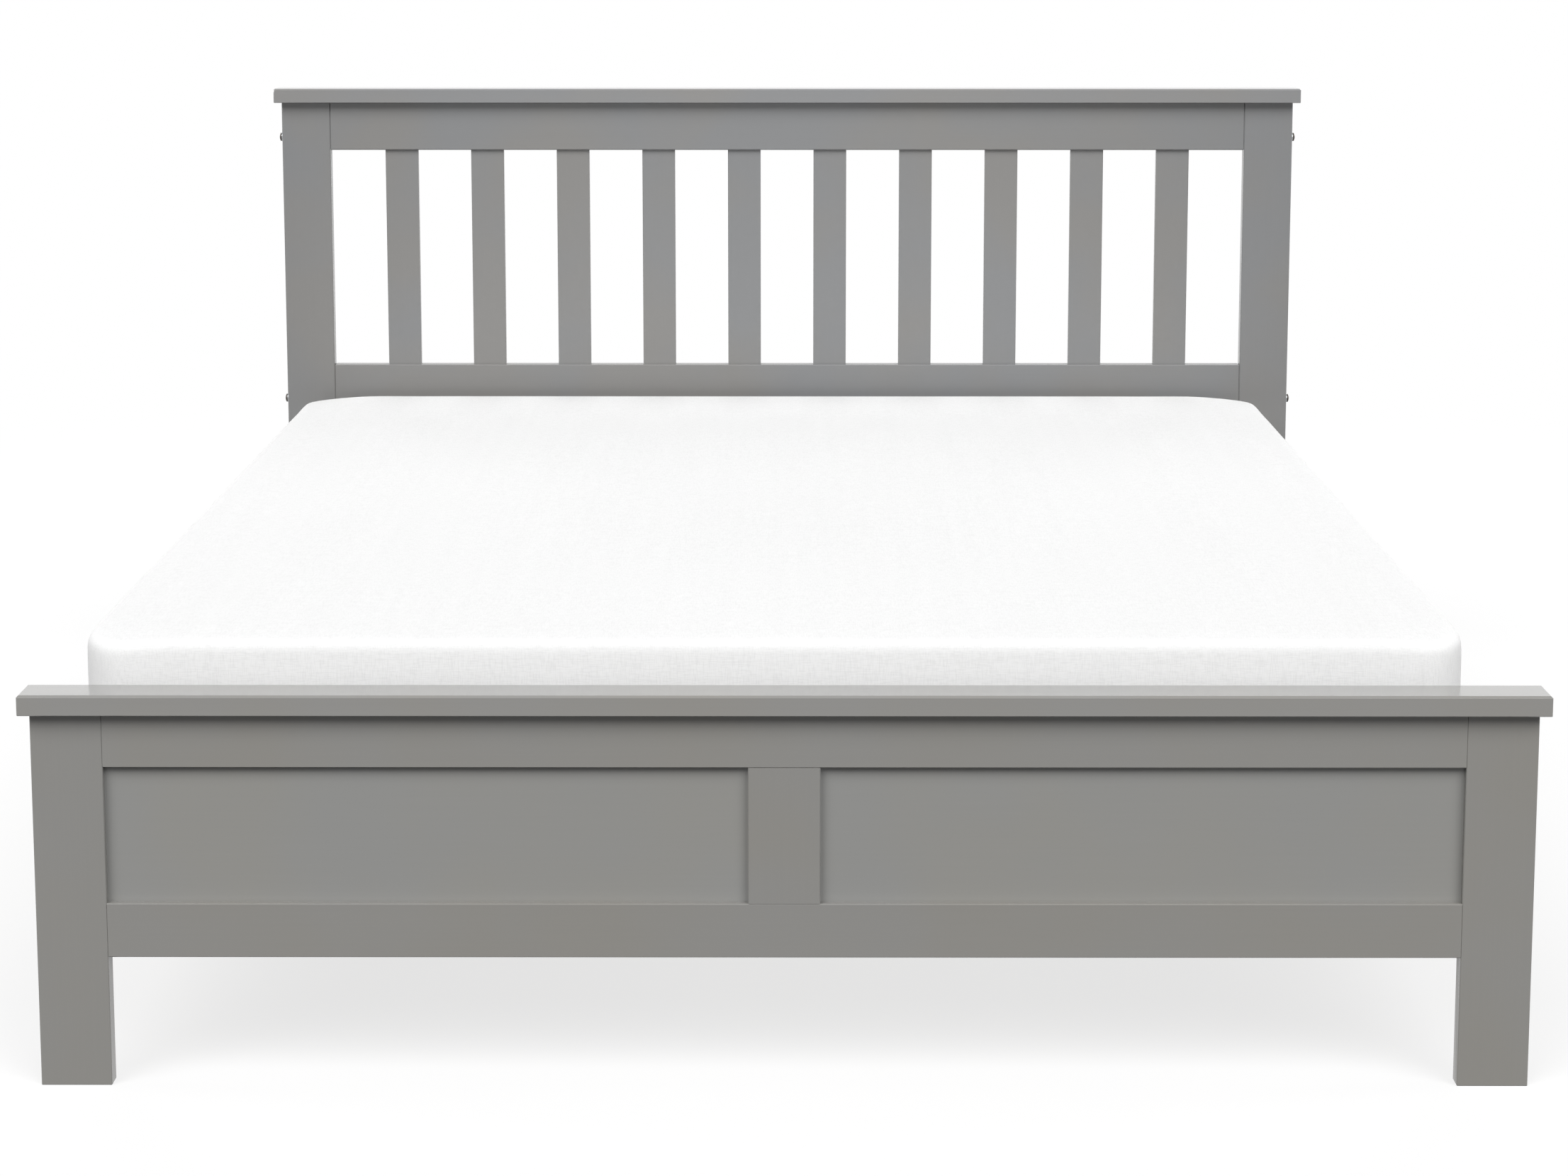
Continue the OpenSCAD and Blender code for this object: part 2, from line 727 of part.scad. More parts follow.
module leg_nuts() {
    color(steel) for (side = [-1, 1])
        translate([-leg_w / 2, side * leg_y, leg_bolt_z]) rotate([0, -90, 0]) difference() {
            cylinder(d = leg_hex / cos(30), h = leg_nut_h, $fn = 6);
            translate([0, 0, -past]) cylinder(d = leg_bolt_d + 2 * fit_gap, h = leg_nut_h + 2 * past);
        }
}

// One ring of the mattress surface: a rectangle with round corners, drawn in by inset
function mattress_ring(inset, z) = let (
    hx = mattress_w / 2 - inset,
    hy = mattress_l / 2 - inset,
    r = max(mattress_corner_r - inset, ring_corner_r)
) [
    for (q = [0:3], s = [0:corner_steps - 1]) let (
        turn = 90 * (q + s / (corner_steps - 1)),
        cx = (hx - r) * (q == 0 || q == 3 ? 1 : -1),
        cy = (hy - r) * (q < 2 ? 1 : -1)
    ) [cx + r * cos(turn), cy + r * sin(turn), z]
];

// Inset and height of every ring, from the bottom face up the side to the crown
function side_inset(z) = mattress_draw_in * pow(2 * z / mattress_t - 1, 2);
crown_inset = side_inset(mattress_edge_r) + mattress_edge_r;
mattress_levels = concat(
    [for (s = [0:edge_steps]) let (a = 90 * s / edge_steps) [
        side_inset(mattress_edge_r) + mattress_edge_r * (1 - sin(a)),
        mattress_edge_r * (1 - cos(a))
    ]],
    [for (s = [1:side_steps - 1]) let (
        z = mattress_edge_r + (mattress_t - 2 * mattress_edge_r) * s / side_steps
    ) [side_inset(z), z]],
    [for (s = [0:edge_steps]) let (a = 90 * s / edge_steps) [
        side_inset(mattress_edge_r) + mattress_edge_r * (1 - cos(a)),
        mattress_t - mattress_edge_r * (1 - sin(a))
    ]],
    [for (share = crown_shares) [
        crown_inset + share * (mattress_w / 2 - crown_inset),
        mattress_t + mattress_crown * sin(90 * share)
    ]]
);

// The mattress as one closed cushion with a crown and drawn-in sides
module mattress() {
    count = 4 * corner_steps;
    rings = len(mattress_levels);
    points = concat(
        [for (level = mattress_levels) each mattress_ring(level[0], level[1])],
        [[0, 0, 0], [0, 0, mattress_t + mattress_crown]]
    );
    sides = [
        for (k = [0:rings - 2], s = [0:count - 1]) let (
            a = k * count + s,
            b = k * count + (s + 1) % count
        ) each [[a, b + count, b], [a, a + count, b + count]]
    ];
    bottom = [for (s = [0:count - 1]) [rings * count, s, (s + 1) % count]];
    top = [
        for (s = [0:count - 1])
            [rings * count + 1, (rings - 1) * count + (s + 1) % count, (rings - 1) * count + s]
    ];
    color("white") translate([-mattress_shift, mattress_y, mattress_bottom])
        polyhedron(points, concat(sides, bottom, top));
}

mirror([1, 0, 0]) headboard_post();  // headboard_post_left
headboard_post();  // headboard_post_right
cap(head_mid, head_post_h);  // headboard_cap
headboard_rail(head_top_z);  // headboard_top_rail
headboard_rail(head_middle_z);  // headboard_middle_rail
headboard_rail(head_bottom_z);  // headboard_bottom_rail
for (i = [0:head_slat_n - 1])
    headboard_slat(i);
mirror([1, 0, 0]) footboard_post();  // footboard_post_left
footboard_post();  // footboard_post_right
cap(foot_mid, foot_post_h);  // footboard_cap
footboard_rail(foot_top_z);  // footboard_top_rail
footboard_rail(foot_clear);  // footboard_bottom_rail
footboard_stile();
mirror([1, 0, 0]) footboard_panel();  // footboard_panel_left
footboard_panel();  // footboard_panel_right
mirror([1, 0, 0]) side_rail();  // side_rail_left
side_rail();  // side_rail_right
mirror([1, 0, 0]) cleat();  // cleat_left
cleat();  // cleat_right
centre_beam();
centre_leg(-1);  // centre_leg_front
centre_leg(1);  // centre_leg_rear
for (i = [0:deck_slat_n - 1])
    bed_slat(i);
mattress();
headboard_bolts();
headboard_washers();
barrel_nuts();
dowels();
corner_brackets();
bracket_bolts();
threaded_inserts();
beam_hangers();
hanger_screws();
cleat_screws();
slat_screws();
leg_bolts();
leg_nuts();
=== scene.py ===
import math

import bmesh
import bpy
from mathutils import Matrix, Vector


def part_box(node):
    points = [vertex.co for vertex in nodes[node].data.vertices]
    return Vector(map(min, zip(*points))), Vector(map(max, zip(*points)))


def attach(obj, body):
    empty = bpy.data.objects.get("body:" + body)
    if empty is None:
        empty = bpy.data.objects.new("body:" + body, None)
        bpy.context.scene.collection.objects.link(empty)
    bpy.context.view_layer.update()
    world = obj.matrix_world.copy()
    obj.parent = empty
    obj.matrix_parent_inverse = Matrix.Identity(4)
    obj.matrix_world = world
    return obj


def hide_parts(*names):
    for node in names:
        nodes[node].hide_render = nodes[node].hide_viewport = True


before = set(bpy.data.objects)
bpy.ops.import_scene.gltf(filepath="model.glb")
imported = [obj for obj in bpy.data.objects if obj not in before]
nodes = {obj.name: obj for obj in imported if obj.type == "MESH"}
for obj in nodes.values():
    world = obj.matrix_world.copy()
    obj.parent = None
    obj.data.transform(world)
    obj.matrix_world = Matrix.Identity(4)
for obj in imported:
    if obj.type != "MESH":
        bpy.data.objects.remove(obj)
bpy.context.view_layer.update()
MM = 0.001


# Footboard: two posts, two rails, a stile and a cap of solid pine, dowelled and glued round two
# thin panels. It is sanded, filled and sprayed with grey satin lacquer after assembly, so its
# joints show only as hairlines and the grain only as a trace.
LACQUER_WARM = "888681"
LACQUER_COOL = "888784"
PANEL_WARM = "8D8C88"
PANEL_COOL = "8C8C8A"
CAP_WARM = "84827D"
CAP_COOL = "848380"
LACQUER_PATCH = 220 * MM
PATCH_FROM = 0.38
PATCH_TO = 0.62
LACQUER_PEEL = 1.6 * MM
GRAIN_WIDTH = 2.4 * MM
GRAIN_LENGTH = 160 * MM
GRAIN_DEPTH = 0.02 * MM
PEEL_DEPTH = 0.015 * MM
FILLED_EDGE = 0.1 * MM
CAP_CLEAR = 1
NOISE_LOW = 0.3
NOISE_HIGH = 0.7
FOOTBOARD_UPRIGHTS = ["footboard_post_left", "footboard_post_right", "footboard_stile"]
FOOTBOARD_LEVELS = ["footboard_top_rail", "footboard_bottom_rail"]
FOOTBOARD_PANELS = ["footboard_panel_left", "footboard_panel_right"]


def linear(code):
    """The linear colour of an sRGB hex code, with full alpha."""
    parts = [int(code[i:i + 2], 16) / 255 for i in (0, 2, 4)]
    return [c / 12.92 if c <= 0.04045 else ((c + 0.055) / 1.055) ** 2.4 for c in parts] + [1]


def add(tree, kind, inputs, **settings):
    """Adds a shader node; each input is a plain value or another node's output."""
    node = tree.nodes.new("ShaderNode" + kind)
    for name, value in settings.items():
        setattr(node, name, value)
    for name, value in inputs.items():
        if isinstance(value, bpy.types.NodeSocket):
            tree.links.new(value, node.inputs[name])
        else:
            node.inputs[name].default_value = value
    return node


def new_material(name):
    """An empty material, and its node tree."""
    material = bpy.data.materials.new(name)
    material.use_nodes = True
    tree = material.node_tree
    tree.nodes.clear()
    return material, tree


def finish(names, material):
    """Gives CAD nodes their finish."""
    for name in names:
        nodes[name].data.materials.clear()
        nodes[name].data.materials.append(material)


def soften(names, width):
    """Rounds the edges of CAD nodes a little, as sanding does to boards and deburring to steel."""
    for name in names:
        weld = nodes[name].modifiers.new("joined_faces", "WELD")
        weld.merge_threshold = 0.01 * MM
        flat = nodes[name].modifiers.new("whole_faces", "DECIMATE")
        flat.decimate_type = "DISSOLVE"
        flat.angle_limit = math.radians(0.5)
        edges = nodes[name].modifiers.new("soft_edges", "BEVEL")
        edges.width = width
        edges.segments = 2
        edges.profile = 0.5
        edges.material = -1
        edges.angle_limit = math.radians(20)
        edges.harden_normals = True


def stretch(axis, length, width):
    """Mapping scales for a pattern that is long along one axis and narrow across it."""
    return [1 / (length if k == axis else width) for k in range(3)]


def lacquer(name, axis, warm, cool, clear=0):
    """Sprayed satin lacquer, IOR 1.5. It evens out the wood to a soft grey with a dull sheen: what is
    left is a slow drift of tone, the grain telegraphing through, and the fine orange peel of spray.
    A share of clear lacquer on top makes it brighter where light grazes it."""
    material, tree = new_material(name)
    place = add(tree, "TexCoord", {}).outputs["Object"]
    drift = add(tree, "TexNoise", {"Vector": place, "Scale": 1 / LACQUER_PATCH, "Detail": 2})
    along = add(tree, "Mapping", {"Vector": place, "Scale": stretch(axis, GRAIN_LENGTH, GRAIN_WIDTH)})
    grain = add(tree, "TexNoise", {"Vector": along.outputs[0], "Scale": 1, "Detail": 4})
    peel = add(tree, "TexNoise", {"Vector": place, "Scale": 1 / LACQUER_PEEL, "Detail": 1})
    tone = add(tree, "ValToRGB", {"Fac": drift.outputs["Fac"]})
    tone.color_ramp.elements[0].position = PATCH_FROM
    tone.color_ramp.elements[0].color = linear(warm)
    tone.color_ramp.elements[1].position = PATCH_TO
    tone.color_ramp.elements[1].color = linear(cool)
    streak = add(tree, "MapRange", {"Value": grain.outputs["Fac"], "From Min": NOISE_LOW,
                                    "From Max": NOISE_HIGH, "To Min": 0.994, "To Max": 1.006})
    colour = add(tree, "VectorMath", {0: tone.outputs["Color"], "Scale": streak.outputs[0]},
                 operation="SCALE")
    dull = add(tree, "MapRange", {"Value": grain.outputs["Fac"], "From Min": NOISE_LOW,
                                  "From Max": NOISE_HIGH, "To Min": 0.17, "To Max": 0.23})
    ripple = add(tree, "Bump", {"Height": peel.outputs["Fac"], "Strength": 0.25, "Distance": PEEL_DEPTH})
    relief = add(tree, "Bump", {"Height": grain.outputs["Fac"], "Strength": 0.5,
                                "Distance": GRAIN_DEPTH, "Normal": ripple.outputs[0]})
    surface = add(tree, "BsdfPrincipled", {"Base Color": colour.outputs[0], "Roughness": dull.outputs[0],
                                           "IOR": 1.5, "Coat Weight": clear,
                                           "Coat Roughness": 0.1, "Normal": relief.outputs[0]})
    add(tree, "OutputMaterial", {"Surface": surface.outputs[0]})
    return material


finish(FOOTBOARD_UPRIGHTS, lacquer("footboard_lacquer_upright_grain", 2, LACQUER_WARM, LACQUER_COOL))
finish(FOOTBOARD_LEVELS, lacquer("footboard_lacquer_level_grain", 0, LACQUER_WARM, LACQUER_COOL))
finish(FOOTBOARD_PANELS, lacquer("panel_lacquer_level_grain", 0, PANEL_WARM, PANEL_COOL))
finish(["footboard_cap"], lacquer("footboard_cap_clear_coated", 0, CAP_WARM, CAP_COOL, CAP_CLEAR))
soften(FOOTBOARD_UPRIGHTS + FOOTBOARD_LEVELS + FOOTBOARD_PANELS + ["footboard_cap"], FILLED_EDGE)


# Headboard: two posts and three rails of the same lacquered pine, bolted together, with ten slats
# mortised between the two upper rails and a cap dowelled on top. Every board has its edges eased
# before spraying, so the joints show as fine grooves. Its colour is drawn darker and more neutral
# than the footboard's, though the real paint is the same: this is painted shade.
# The footboard's grey drawn darker, as painted shade on the whole headboard.
HEADBOARD_SHADED_WARM = "807F7D"
HEADBOARD_SHADED_COOL = "7E7F80"
EASED_EDGE = 0.35 * MM
HEADBOARD_UPRIGHTS = sorted(n for n in nodes if n.startswith("headboard_slat_"))
HEADBOARD_UPRIGHTS += ["headboard_post_left", "headboard_post_right"]
HEADBOARD_LEVELS = ["headboard_top_rail", "headboard_middle_rail", "headboard_bottom_rail"]
finish(HEADBOARD_UPRIGHTS, lacquer("headboard_lacquer_shaded_upright_grain", 2, HEADBOARD_SHADED_WARM, HEADBOARD_SHADED_COOL))
finish(HEADBOARD_LEVELS, lacquer("headboard_lacquer_shaded_level_grain", 0, HEADBOARD_SHADED_WARM, HEADBOARD_SHADED_COOL))
finish(["headboard_cap"],
       lacquer("headboard_cap_shaded_clear_coated", 0, HEADBOARD_SHADED_WARM, HEADBOARD_SHADED_COOL, CAP_CLEAR))
soften(HEADBOARD_UPRIGHTS + HEADBOARD_LEVELS + ["headboard_cap"], EASED_EDGE)


# Side rails: two long boards of the same lacquered pine. They run from the footboard to the
# headboard, and an angle bracket inside each corner holds them with bolts.
SIDE_RAILS = ["side_rail_left", "side_rail_right"]
finish(SIDE_RAILS, lacquer("rail_lacquer_lengthwise_grain", 1, LACQUER_WARM, LACQUER_COOL))
soften(SIDE_RAILS, EASED_EDGE)


# Slatted base: planed pine without any finish. The cleats are screwed along the side rails, the beam
# sits in a steel hanger at each end and on two forked legs between, and fourteen slats lie across.
PINE_EARLY = "D9BF94"
PINE_LATE = "B48A55"
PINE_KNOT = "6E4526"
RING_WIDTH = 3.2 * MM
EARLY_WOOD_ENDS = 0.45
LATE_WOOD_PEAK = 0.82
FIBRE_WIDTH = 0.5 * MM
FIBRE_LENGTH = 45 * MM
FIBRE_DEPTH = 0.12 * MM
WAVE_WIDTH = 60 * MM
WAVE_LENGTH = 700 * MM
KNOT_CELL_WIDTH = 110 * MM
KNOT_CELL_LENGTH = 170 * MM
BED_SLATS = sorted(n for n in nodes if n.startswith("bed_slat_"))


def pine(name, axis):
    """Planed pine: pale early wood and darker, harder late wood in wavy growth rings that run along the
    board and close into rings at its ends, fine fibres, and here and there a brown knot."""
    material, tree = new_material(name)
    place = add(tree, "TexCoord", {}).outputs["Object"]
    rings_at = add(tree, "Mapping", {"Vector": place, "Scale": stretch(axis, WAVE_LENGTH, WAVE_WIDTH)})
    bend = add(tree, "TexNoise", {"Vector": rings_at.outputs[0], "Scale": 1, "Detail": 2})
    knots_at = add(tree, "Mapping", {"Vector": place,
                                     "Scale": stretch(axis, KNOT_CELL_LENGTH, KNOT_CELL_WIDTH)})
    knot = add(tree, "TexVoronoi", {"Vector": knots_at.outputs[0], "Scale": 1, "Randomness": 1})
    swirl = add(tree, "MapRange", {"Value": knot.outputs["Distance"], "From Min": 0.05, "From Max": 0.3,
                                   "To Min": 6, "To Max": 0}, interpolation_type="SMOOTHSTEP")
    depth = add(tree, "SeparateXYZ", {"Vector": place}).outputs[1 if axis == 2 else 2]
    phase = add(tree, "Math", {0: bend.outputs["Fac"], 1: WAVE_WIDTH / RING_WIDTH, 2: swirl.outputs[0]},
                operation="MULTIPLY_ADD")
    phase = add(tree, "Math", {0: depth, 1: 1 / (2 * RING_WIDTH), 2: phase.outputs[0]},
                operation="MULTIPLY_ADD")
    ring = add(tree, "Math", {0: phase.outputs[0]}, operation="FRACT")
    wood = add(tree, "ValToRGB", {"Fac": ring.outputs[0]})
    wood.color_ramp.elements[0].color = linear(PINE_EARLY)
    wood.color_ramp.elements[1].color = linear(PINE_EARLY)
    late = wood.color_ramp.elements.new(LATE_WOOD_PEAK)
    late.color = linear(PINE_LATE)
    middle = wood.color_ramp.elements.new(EARLY_WOOD_ENDS)
    middle.color = linear(PINE_EARLY)
    fibre_at = add(tree, "Mapping", {"Vector": place, "Scale": stretch(axis, FIBRE_LENGTH, FIBRE_WIDTH)})
    fibre = add(tree, "TexNoise", {"Vector": fibre_at.outputs[0], "Scale": 1, "Detail": 3})
    shade = add(tree, "MapRange", {"Value": fibre.outputs["Fac"], "From Min": 0.25, "From Max": 0.75,
                                   "To Min": 0.86, "To Max": 1.1})
    grained = add(tree, "VectorMath", {0: wood.outputs["Color"], "Scale": shade.outputs[0]},
                  operation="SCALE")
    core = add(tree, "MapRange", {"Value": knot.outputs["Distance"], "From Min": 0.05, "From Max": 0.075,
                                  "To Min": 1, "To Max": 0})
    colour = add(tree, "Mix", {"Factor": core.outputs[0], 6: grained.outputs[0], 7: linear(PINE_KNOT)},
                 data_type="RGBA")
    relief = add(tree, "Bump", {"Height": fibre.outputs["Fac"], "Strength": 0.6, "Distance": FIBRE_DEPTH})
    surface = add(tree, "BsdfPrincipled", {"Base Color": colour.outputs[2], "Roughness": 0.62,
                                           "IOR": 1.5, "Normal": relief.outputs[0]})
    add(tree, "OutputMaterial", {"Surface": surface.outputs[0]})
    return material


pine_across = pine("planed_pine_across", 0)
pine_lengthwise = pine("planed_pine_lengthwise", 1)
pine_upright = pine("planed_pine_upright", 2)
finish(BED_SLATS + ["dowels"], pine_across)
finish(["cleat_left", "cleat_right", "centre_beam"], pine_lengthwise)
finish(["centre_leg_front", "centre_leg_rear"], pine_upright)


# Wood screws: hardened steel with a bright zinc plating. Each has a countersunk head with a cross
# recess and a coarse thread. Seven hold each cleat to its side rail and three hold down each slat;
# those in the beam's hangers have round heads instead.
ZINC = "B4B8BA"
ZINC_CLOUD = 1.5 * MM
HEAD_R = 4 * MM
SHANK_R = 1.5 * MM
THREAD_R = 2 * MM
WOOD_PITCH = 1.8 * MM
TIP_L = 4 * MM
TIP_R = 0.2 * MM
PLAIN_SHARE = 0.4
RECESS_W = 0.95 * MM
RECESS_R = 2.3 * MM
RECESS_DEEP = 1.5 * MM
RECESS_TAPER = 0.5
PAN_H = 2 * MM
TURN_STEPS = 20
THREAD_STEPS = 10
RIDGE_SHARE = 0.4
RIDGE_SINK = 0.2 * MM
GOLDEN_TURN = 2.4
SHARP_ANGLE = 35
HALF_INNER_L = 1033 * MM
DECK_Z = 300 * MM
SLAT_SCREW_X = 815 * MM
CLEAT_FACE_X = 802.5 * MM
CLEAT_SCREW_Z = 270 * MM
CLEAT_SCREW_PITCH = 294 * MM
HANGER_SHEET = 2.5 * MM
HANGER_SCREW_X = 25 * MM
HANGER_SCREW_ZS = [224.5 * MM, 255.5 * MM]


def plated(name, code, rough):
    """Plated metal: it mirrors softly, a little unevenly, as a plating bath leaves it."""
    material, tree = new_material(name)
    place = add(tree, "TexCoord", {}).outputs["Object"]
    cloud = add(tree, "TexNoise", {"Vector": place, "Scale": 1 / ZINC_CLOUD, "Detail": 3})
    dull = add(tree, "MapRange", {"Value": cloud.outputs["Fac"], "From Min": NOISE_LOW,
                                  "From Max": NOISE_HIGH, "To Min": rough - 0.06, "To Max": rough + 0.08})
    tone = add(tree, "MapRange", {"Value": cloud.outputs["Fac"], "From Min": NOISE_LOW,
                                  "From Max": NOISE_HIGH, "To Min": 0.9, "To Max": 1.04})
    colour = add(tree, "VectorMath", {0: linear(code)[:3], "Scale": tone.outputs[0]}, operation="SCALE")
    surface = add(tree, "BsdfPrincipled", {"Base Color": colour.outputs[0], "Metallic": 1,
                                           "Roughness": dull.outputs[0]})
    add(tree, "OutputMaterial", {"Surface": surface.outputs[0]})
    return material


def as_object(name, bm):
    """Puts a finished bmesh into the scene as an object."""
    bmesh.ops.recalc_face_normals(bm, faces=bm.faces)
    mesh = bpy.data.meshes.new(name)
    bm.to_mesh(mesh)
    bm.free()
    piece = bpy.data.objects.new(name, mesh)
    bpy.context.scene.collection.objects.link(piece)
    return piece


def apply_all(piece):
    """Makes a piece's modifiers part of its mesh."""
    done = bpy.data.meshes.new_from_object(piece.evaluated_get(bpy.context.evaluated_depsgraph_get()))
    piece.modifiers.clear()
    piece.data = done


def lathe(profile, steps=TURN_STEPS):
    """A round shape from a profile of radii and heights, whose two ends are on the axis."""
    bm = bmesh.new()
    points = [bm.verts.new((r, 0, z)) for r, z in profile]
    lines = [bm.edges.new(pair) for pair in zip(points, points[1:])]
    bmesh.ops.spin(bm, geom=points + lines, cent=(0, 0, 0), axis=(0, 0, 1), dvec=(0, 0, 0),
                   angle=2 * math.pi, steps=steps, use_merge=True)
    bmesh.ops.remove_doubles(bm, verts=bm.verts, dist=0.001 * MM)
    return bm


def cut_with(piece, tool, operation="DIFFERENCE"):
    """Cuts the tool's shape out of a piece, or keeps what lies in both."""
    step = piece.modifiers.new("cut", "BOOLEAN")
    step.operation = operation
    step.solver = "EXACT"
    step.object = tool
    apply_all(piece)
    bpy.data.objects.remove(tool)


def add_thread(piece, root, crest, pitch, low, high):
    """Winds a thread, which is one sharp ridge, round a shank from a low to a high point."""
    bm = bmesh.new()
    bm.from_mesh(piece.data)
    half = pitch * RIDGE_SHARE
    ridge = [bm.verts.new(point) for point in
             ((root, 0, low - half), (crest, 0, low), (root, 0, low + half))]
    sides = [bm.edges.new((ridge[k - 1], ridge[k])) for k in range(3)]
    steps = round((high - low) / pitch * THREAD_STEPS)
    wound = bmesh.ops.spin(bm, geom=ridge + sides, cent=(0, 0, 0), axis=(0, 0, 1),
                           dvec=(0, 0, pitch / THREAD_STEPS),
                           angle=2 * math.pi * steps / THREAD_STEPS, steps=steps)
    bm.faces.new(ridge)
    bm.faces.new([v for v in wound["geom_last"] if isinstance(v, bmesh.types.BMVert)])
    bmesh.ops.recalc_face_normals(bm, faces=bm.faces)
    bm.to_mesh(piece.data)
    bm.free()


def cross_recess():
    """The tapered cross that a screwdriver fits, with its open end a little above the origin."""
    bm = bmesh.new()
    bmesh.ops.create_cube(bm, size=RECESS_W)
    sides = [f for f in bm.faces if abs(f.normal.z) < 0.5]
    for side in sides:
        arm = bmesh.ops.extrude_discrete_faces(bm, faces=[side])["faces"][0]
        bmesh.ops.translate(bm, vec=arm.normal * (RECESS_R - RECESS_W / 2), verts=arm.verts)
    bmesh.ops.scale(bm, vec=(1, 1, 2 * RECESS_DEEP / RECESS_W), verts=bm.verts)
    deep = [v for v in bm.verts if v.co.z < 0]
    bmesh.ops.scale(bm, vec=(RECESS_TAPER, RECESS_TAPER, 1), verts=deep)
    return as_object("screwdriver_recess", bm)


def wood_screw(head, length, seat):
    """A wood screw that points down from its head, whose profile is given from the top."""
    shank = [(SHANK_R, seat), (SHANK_R, TIP_L - length), (TIP_R, -length), (0, -length)]
    screw = as_object("wood_screw", lathe(head + shank))
    tool = cross_recess()
    tool.data.transform(Matrix.Translation((0, 0, head[0][1])))
    cut_with(screw, tool)
    add_thread(screw, SHANK_R - RIDGE_SINK, THREAD_R, WOOD_PITCH, TIP_L - length,
               -PLAIN_SHARE * length)
    return screw


def stand_for(piece, node, material):
    """Lets a metal piece take a CAD node's place: smooth but for its sharp edges, in one finish."""
    piece.data.shade_smooth()
    piece.data.set_sharp_from_angle(angle=math.radians(SHARP_ANGLE))
    piece.data.materials.clear()
    piece.data.materials.append(material)
    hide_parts(node)
    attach(piece, "frame")


def repeat(name, pattern, places, node, material):
    """A piece for one CAD node: copies of a pattern, each at a place and facing a way, and turned
    about its own axis by a different angle, as hands and drivers leave them."""
    bm = bmesh.new()
    for k, (place, facing) in enumerate(places):
        copy = pattern.data.copy()
        turn = Vector(facing).to_track_quat("Z", "X").to_matrix().to_4x4()
        copy.transform(Matrix.Translation(place) @ turn @ Matrix.Rotation(GOLDEN_TURN * k, 4, "Z"))
        bm.from_mesh(copy)
        bpy.data.meshes.remove(copy)
    bpy.data.objects.remove(pattern)
    stand_for(as_object(name, bm), node, material)


zinc = plated("bright_zinc", ZINC, 0.32)
countersunk = [(0, 0), (3.8 * MM, 0), (HEAD_R, -0.12 * MM), (HEAD_R, -0.35 * MM), (SHANK_R, -2.7 * MM)]
slat_places = [((x, (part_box(n)[0].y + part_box(n)[1].y) / 2, DECK_Z), (0, 0, 1))
               for n in BED_SLATS for x in (-SLAT_SCREW_X, 0, SLAT_SCREW_X)]
repeat("slat_screws_crosshead", wood_screw(countersunk, length=35 * MM, seat=-3 * MM), slat_places,
       "slat_screws", zinc)
cleat_places = [((side * CLEAT_FACE_X, k * CLEAT_SCREW_PITCH, CLEAT_SCREW_Z), (-side, 0, 0))
                for side in (-1, 1) for k in range(-3, 4)]
repeat("cleat_screws_crosshead", wood_screw(countersunk, length=40 * MM, seat=-3 * MM), cleat_places,
       "cleat_screws", zinc)
round_head = [(0, PAN_H), (1.8 * MM, 0.97 * PAN_H), (3 * MM, 0.8 * PAN_H), (3.7 * MM, 0.5 * PAN_H),
              (HEAD_R, 0.1 * PAN_H), (HEAD_R, 0), (SHANK_R, 0)]
hanger_places = [((side * HANGER_SCREW_X, end * (HALF_INNER_L - HANGER_SHEET), z), (0, -end, 0))
                 for end in (-1, 1) for side in (-1, 1) for z in HANGER_SCREW_ZS]
repeat("hanger_screws_crosshead", wood_screw(round_head, length=20 * MM, seat=-0.2 * MM),
       hanger_places, "hanger_screws", zinc)


# Bolts: six long ones with domed heads draw the headboard's rails to its posts, each into a barrel
# nut, and short ones hold the corner brackets to brass inserts. Both have hexagon sockets. Two
# hexagon bolts with nuts cross the forked legs.
BRASS = "C9A85E"
BLACKENED = "54504D"
COARSE_M8 = 1.25 * MM
COARSE_M6 = 1 * MM
THREAD_DEPTH_SHARE = 0.55
THREAD_SINK = 0.1 * MM
END_CHAMFER = 0.6 * MM
HEAD_CHAMFER = 0.2 * MM
DOME_STEPS = 5
SOCKET_DEPTH_SHARE = 1.3
TURNED_SHARE = 0.95
M8_R = 4 * MM
M8_CORE_R = 3.3 * MM
M8_FLATS = 13 * MM
NUT_BORE_R = 3.6 * MM
FINE_TURN_STEPS = 28
HEXAGON_TURN_STEPS = 36
HEADBOARD_BOLT_ZS = [225.5 * MM, 503.5 * MM, 954.5 * MM]
HEADBOARD_MID_Y = 1045.5 * MM
WASHER_FACE_X = 864.1 * MM
BARREL_X = 748.5 * MM
BARREL_R = 6 * MM
BARREL_HALF = 9 * MM
BARREL_CHAMFER = 0.7 * MM
BARREL_SLOT = (14 * MM, 1.6 * MM, 3 * MM)
SIDE_RAIL_X = 827.5 * MM
BRACKET_SHEET = 3 * MM
BRACKET_HOLE_OUT = 21 * MM
BRACKET_HOLE_ZS = [211.5 * MM, 239.5 * MM]
LEG_FACE_X = 30.55 * MM
LEG_Y = 344.33 * MM
LEG_BOLT_Z = 240 * MM
LEG_BOLT_L = 69.6 * MM
LEG_BOLT_PLAIN = 42 * MM


def prism(width, low, high):
    """A hexagonal bar, measured across its flats."""
    bm = bmesh.new()
    bmesh.ops.create_cone(bm, cap_ends=True, segments=6, radius1=width / 2 / math.cos(math.pi / 6),
                          radius2=width / 2 / math.cos(math.pi / 6), depth=high - low)
    bmesh.ops.translate(bm, vec=(0, 0, (low + high) / 2), verts=bm.verts)
    return as_object("hexagon", bm)


